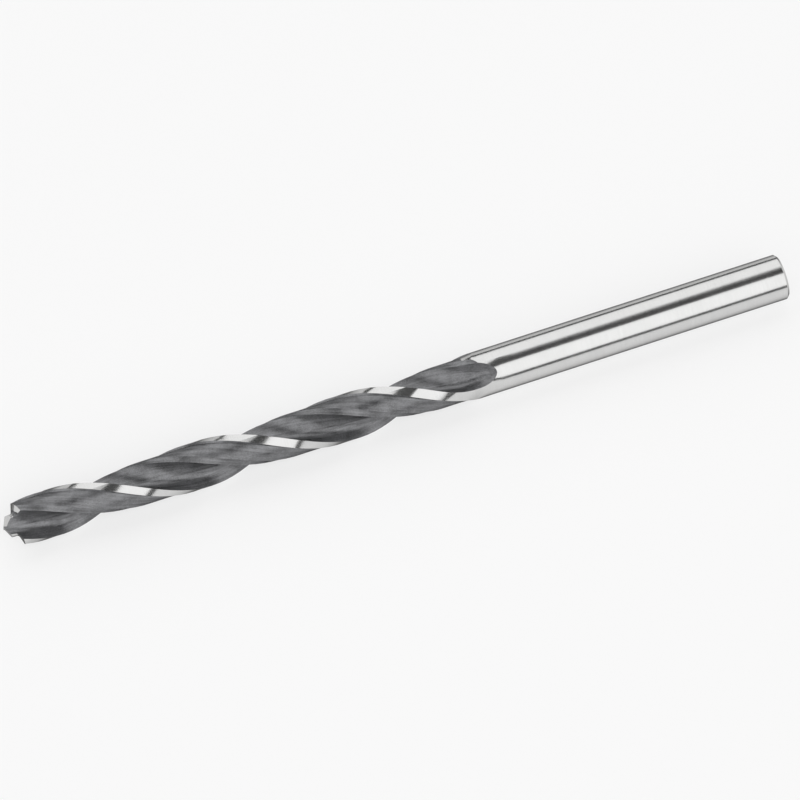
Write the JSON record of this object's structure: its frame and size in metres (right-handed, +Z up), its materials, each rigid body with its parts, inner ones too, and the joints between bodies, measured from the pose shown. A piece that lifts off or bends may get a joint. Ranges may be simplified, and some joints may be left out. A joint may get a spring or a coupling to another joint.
{
  "type": "twist drill bit",
  "caption": "Right-hand twist drill bit with helical flutes, ground margins, a stepped pilot point and a plain round shank.",
  "frame": {"origin": "on the surface that the bit lies on, straight under the middle of its axis", "axes": "+X runs along the axis from the point to the shank, +Z is up off the surface, and the axis is half a diameter above it"},
  "size_m": [0.086, 0.0048, 0.0049],
  "materials": {
    "high_speed_steel": "bright ground shank, margins and point; dark matt oxide in the flutes and on the body clearance"
  },
  "bodies": {
    "root": {"drill_bit": "high_speed_steel"}
  },
  "joints": []
}
